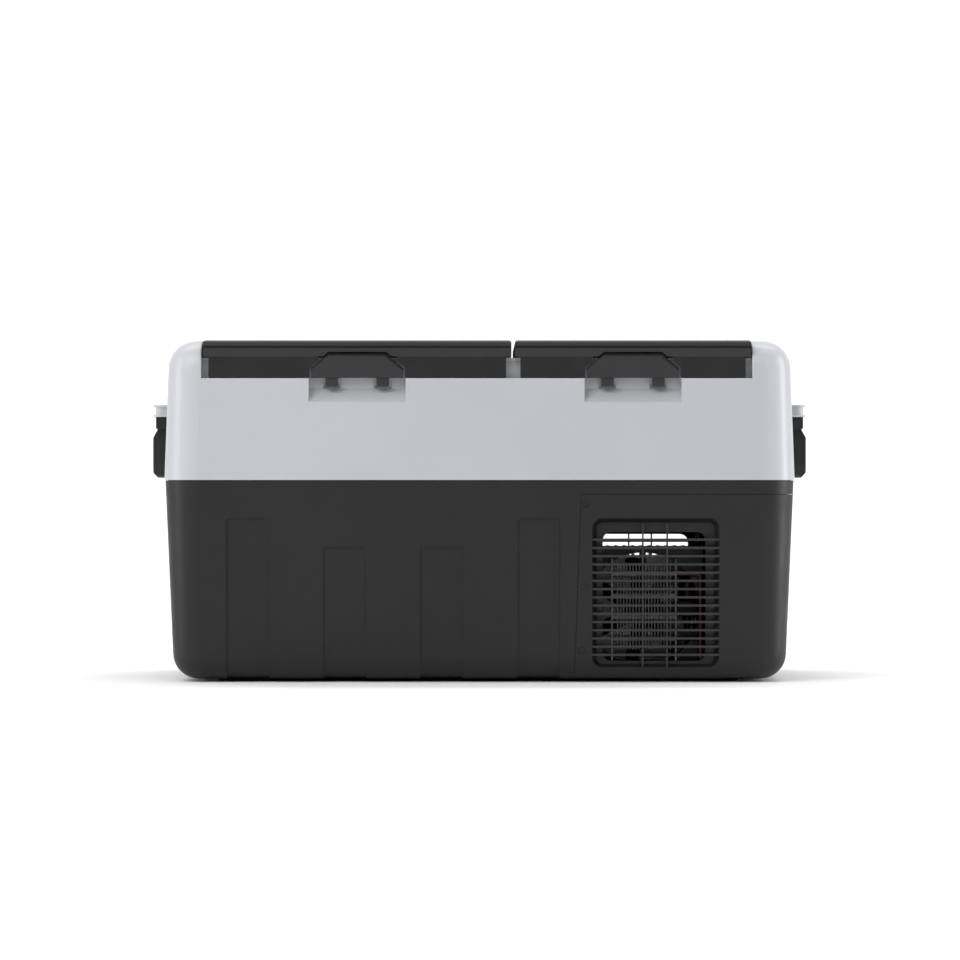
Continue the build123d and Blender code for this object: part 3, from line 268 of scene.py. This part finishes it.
def digit(lit, u):
    """A seven-segment digit: lit names the segments that are on."""
    w, h, t = 4.0, 7.6, 0.8
    places = {
        "a": bar(u, h / 2 - t, u + w, h / 2),
        "b": bar(u + w - t, 0.2, u + w, h / 2 - t - 0.2),
        "c": bar(u + w - t, -h / 2 + t + 0.2, u + w, -0.2),
        "d": bar(u, -h / 2, u + w, -h / 2 + t),
        "e": bar(u, -h / 2 + t + 0.2, u + t, -0.2),
        "f": bar(u, 0.2, u + t, h / 2 - t - 0.2),
        "g": bar(u + t, -t / 2, u + w - t, t / 2),
    }
    return [places[name] for name in lit]


print_white, tree, shader = new_material("print_white")
tint(tree, shader, ramp(tree, noise(tree, 4000.0, 2.0), 0.0, 1.0), (0.62, 0.62, 0.62), (0.75, 0.75, 0.75))
tree.links.new(ramp(tree, noise(tree, 900.0, 2.0), 0.45, 0.6), shader.inputs["Roughness"])
glow_blue, tree, shader = new_material("glow_blue")
tint(tree, shader, ramp(tree, noise(tree, 2500.0, 2.0), 0.0, 1.0), (0.20, 0.55, 0.70), (0.28, 0.65, 0.80))
tree.links.new(ramp(tree, noise(tree, 900.0, 2.0), 0.3, 0.4), shader.inputs["Roughness"])
shader.inputs["Emission Color"].default_value = (0.35, 0.8, 1.0, 1.0)
shader.inputs["Emission Strength"].default_value = 0.9

marking(
    "power_sign", "key_power", "key_power_cap",
    ring(2.0, 0.45, 125, 415, 20) + [bar(-0.23, 0.4, 0.23, 2.6)], print_white,
)
marking(
    "set_sign", "key_set", "key_set_cap",
    [bar(-2.2, v - 0.22, 2.2, v + 0.22) for v in (-1.5, 0.0, 1.5)], print_white,
)
for key, way in (("down", 1.0), ("up", -1.0)):
    arrow = [(-2.0, way), (2.0, way), (0.0, -1.7 * way)]
    marking(f"{key}_sign", f"key_{key}", f"key_{key}_cap", [arrow], print_white)
marking(
    "display_digits", "display_window", "housing",
    [bar(-15.5, -0.4, -12.5, 0.4)] + digit("bc", -13.0) + digit("abcdefg", -7.5) + digit("bcfg", 6.5),
    glow_blue,
)

# ---------------------------------------------------------------- camera, floor and lights
body_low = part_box("lower_shell")[0]
split_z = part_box("upper_shell")[0].z
camera_data = bpy.data.cameras.new("camera")
camera_data.lens = CAMERA_LENS
camera_data.sensor_width = CAMERA_SENSOR
camera = bpy.data.objects.new("camera", camera_data)
bpy.context.collection.objects.link(camera)
camera.location = (CAMERA_SIDE, body_low.y - CAMERA_DISTANCE, split_z)
camera.rotation_euler = (math.radians(90.0), 0.0, 0.0)
bpy.context.scene.camera = camera


def backdrop():
    """A floor that sweeps up into a wall behind the object."""
    half, front, flat, radius, top = 7.0, -7.0, 2.2, 1.6, 5.5
    profile = [(front, 0.0), (flat, 0.0)]
    for i in range(1, 17):
        angle = math.pi / 2 * i / 16
        profile.append((flat + radius * math.sin(angle), radius * (1 - math.cos(angle))))
    profile.append((flat + radius, top))
    points = [(x, y, z) for y, z in profile for x in (-half, half)]
    faces = [(2 * i, 2 * i + 1, 2 * i + 3, 2 * i + 2) for i in range(len(profile) - 1)]
    mesh = bpy.data.meshes.new("sweep")
    mesh.from_pydata(points, [], faces)
    for polygon in mesh.polygons:
        polygon.use_smooth = True
    sweep = bpy.data.objects.new("sweep", mesh)
    bpy.context.collection.objects.link(sweep)
    material, tree, shader = new_material("studio_paper")
    shader.inputs["Specular IOR Level"].default_value = 0.1
    tint(tree, shader, ramp(tree, noise(tree, 1.5, 3.0), 0.0, 1.0), (0.90, 0.90, 0.90), (0.93, 0.93, 0.93))
    tree.links.new(ramp(tree, noise(tree, 30.0, 3.0), 0.8, 0.9), shader.inputs["Roughness"])
    mesh.materials.append(material)


def area_light(name, place, aim, width, height, power):
    data = bpy.data.lights.new(name, "AREA")
    data.shape = "RECTANGLE"
    data.size, data.size_y, data.energy = width, height, power
    lamp = bpy.data.objects.new(name, data)
    bpy.context.collection.objects.link(lamp)
    lamp.location = place
    lamp.rotation_euler = (Vector(aim) - Vector(place)).to_track_quat("-Z", "Y").to_euler()


backdrop()
area_light("key", (-1.9, -2.2, 2.1), (-0.1, 0.0, 0.2), 1.6, 1.4, 34.0)
area_light("fill", (1.8, -3.2, 1.3), (0.0, 0.0, 0.2), 1.6, 1.6, 4.5)
area_light("floor_wash", (0.0, -2.9, 2.4), (0.0, -2.95, 0.0), 5.0, 2.4, 58.0)
area_light("top", (0.0, 0.1, 2.6), (0.0, 0.1, 0.3), 2.4, 1.6, 14.0)
area_light("left_strip", (-1.7, -0.35, 0.5), (-0.3, 0.0, 0.22), 0.3, 1.4, 8.0)
area_light("right_strip", (1.7, -0.1, 0.5), (0.3, 0.0, 0.22), 0.3, 1.4, 15.0)
area_light("back_wall", (0.0, 0.9, 3.2), (0.0, 3.6, 0.6), 5.0, 1.2, 120.0)

world = bpy.data.worlds.new("studio")
bpy.context.scene.world = world
world.use_nodes = True
world.node_tree.nodes["Background"].inputs["Color"].default_value = (1.0, 1.0, 1.0, 1.0)
world.node_tree.nodes["Background"].inputs["Strength"].default_value = WORLD_STRENGTH
bpy.context.scene.view_settings.view_transform = "Standard"
